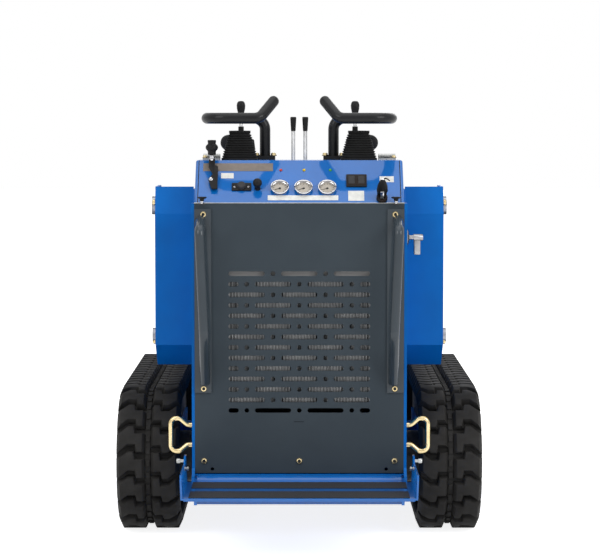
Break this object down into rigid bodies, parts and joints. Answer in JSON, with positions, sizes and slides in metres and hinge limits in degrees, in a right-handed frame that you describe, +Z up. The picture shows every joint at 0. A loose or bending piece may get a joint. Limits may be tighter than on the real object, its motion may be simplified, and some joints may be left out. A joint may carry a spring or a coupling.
{
  "type": "mini skid steer loader",
  "caption": "Stand-on compact tracked loader with lift arms, bucket, folding rear platform, opening hood, dash with joysticks and rubber tracks.",
  "frame": {"origin": "on the ground under the middle of the machine's box", "axes": "+X to the operator's right, +Y forward towards the bucket, +Z up"},
  "size_m": [1.045, 2.416, 1.2633],
  "materials": {
    "blue_paint": "gloss enamel",
    "slate_paint": "satin powder coat",
    "track_rubber": "moulded rubber",
    "dark_steel": "cast, oiled",
    "radiator_aluminium": "finned",
    "engine_iron": "cast",
    "chrome_plate": "polished",
    "black_plastic": "moulded",
    "black_coat": "semi-gloss powder coat",
    "zinc_yellow": "yellow zinc plate",
    "bare_steel": "machined",
    "grip_rubber": "grit tread"
  },
  "bodies": {
    "root": {"side_plate_left": "blue_paint", "side_plate_right": "blue_paint", "belly_plate": "blue_paint", "nose_plate": "blue_paint", "tower_left": "blue_paint", "tower_right": "blue_paint", "track_frame_left": "blue_paint", "track_frame_right": "blue_paint", "track_left": "track_rubber", "track_right": "track_rubber", "drive_sprocket_left": "dark_steel", "drive_sprocket_right": "dark_steel", "drive_motor_left": "dark_steel", "drive_motor_right": "dark_steel", "idler_left": "dark_steel", "idler_right": "dark_steel", "track_rollers_left": "dark_steel", "track_rollers_right": "dark_steel", "grille_panel": "slate_paint", "grab_handle_left": "slate_paint", "grab_handle_right": "slate_paint", "radiator_core": "radiator_aluminium", "engine_block": "engine_iron", "dash_panel": "blue_paint", "gauges": "chrome_plate", "dash_controls": "black_plastic", "throttle_lever": "black_plastic", "joystick_left": "black_plastic", "joystick_right": "black_plastic", "hand_rail_left": "black_coat", "hand_rail_right": "black_coat", "aux_levers": "black_plastic", "tie_down_loops": "zinc_yellow", "hood_hinges_fixed": "zinc_yellow", "latch_handle": "chrome_plate", "platform_hinge_tube": "blue_paint", "boom_pins": "bare_steel"},
    "boom": {"loader_arm_left": "blue_paint", "loader_arm_right": "blue_paint", "cross_tube": "blue_paint"},
    "bucket": {"attachment_plate": "blue_paint", "bucket_shell": "slate_paint", "cutting_edge": "bare_steel"},
    "tilt_barrel": {"tilt_barrel": "black_coat"},
    "tilt_rod": {"tilt_rod": "chrome_plate"},
    "lift_barrel_left": {"lift_barrel_left": "black_coat"},
    "lift_barrel_right": {"lift_barrel_right": "black_coat"},
    "lift_rod_left": {"lift_rod_left": "chrome_plate"},
    "lift_rod_right": {"lift_rod_right": "chrome_plate"},
    "platform": {"platform_deck": "blue_paint", "platform_grips": "grip_rubber"},
    "hood": {"hood_shell": "blue_paint", "hood_hinges_moving": "zinc_yellow", "work_lamps": "black_plastic"}
  },
  "joints": [
    {"name": "boom_lift", "type": "hinge", "parent": "root", "child": "boom", "pos_m": [0, -0.672, 0.95], "axis": [1, 0, 0], "range_deg": [0, 66]},
    {"name": "bucket_tilt", "type": "hinge", "parent": "boom", "child": "bucket", "pos_m": [0, 0.658, 0.19], "axis": [1, 0, 0], "range_deg": [-105, 20]},
    {"name": "platform_fold", "type": "hinge", "parent": "root", "child": "platform", "pos_m": [0, -0.913, 0.181], "axis": [-1, 0, 0], "range_deg": [0, 75]},
    {"name": "hood_open", "type": "hinge", "parent": "root", "child": "hood", "pos_m": [0, -0.592, 1.09], "axis": [1, 0, 0], "range_deg": [0, 55]},
    {"name": "tilt_barrel_swing", "type": "hinge", "parent": "boom", "child": "tilt_barrel", "pos_m": [0, 0.358, 0.805], "axis": [1, 0, 0], "range_deg": [-1.06, 3.44]},
    {"name": "tilt_rod_slide", "type": "slide", "parent": "tilt_barrel", "child": "tilt_rod", "axis": [0, 0.5465, -0.8374], "range_m": [-0.04065, 0.20918]},
    {"name": "lift_barrel_swing_left", "type": "hinge", "parent": "root", "child": "lift_barrel_left", "pos_m": [0, -0.672, 0.574], "axis": [1, 0, 0], "range_deg": [-0.5, 44.47]},
    {"name": "lift_rod_slide_left", "type": "slide", "parent": "lift_barrel_left", "child": "lift_rod_left", "axis": [0, 0.9248, 0.3804], "range_m": [-0.001, 0.31997]},
    {"name": "lift_barrel_swing_right", "type": "hinge", "parent": "root", "child": "lift_barrel_right", "pos_m": [0, -0.672, 0.574], "axis": [1, 0, 0], "range_deg": [-0.5, 44.47]},
    {"name": "lift_rod_slide_right", "type": "slide", "parent": "lift_barrel_right", "child": "lift_rod_right", "axis": [0, 0.9248, 0.3804], "range_m": [-0.001, 0.31997]}
  ],
  "couplings": [
    {"joint": "tilt_barrel_swing", "follows": "bucket_tilt", "ratio": -0.028},
    {"joint": "tilt_rod_slide", "follows": "bucket_tilt", "m_per_rad": -0.1136},
    {"joint": "lift_barrel_swing_left", "follows": "boom_lift", "ratio": 0.6662},
    {"joint": "lift_rod_slide_left", "follows": "boom_lift", "m_per_rad": 0.2769},
    {"joint": "lift_barrel_swing_right", "follows": "boom_lift", "ratio": 0.6662},
    {"joint": "lift_rod_slide_right", "follows": "boom_lift", "m_per_rad": 0.2769}
  ]
}
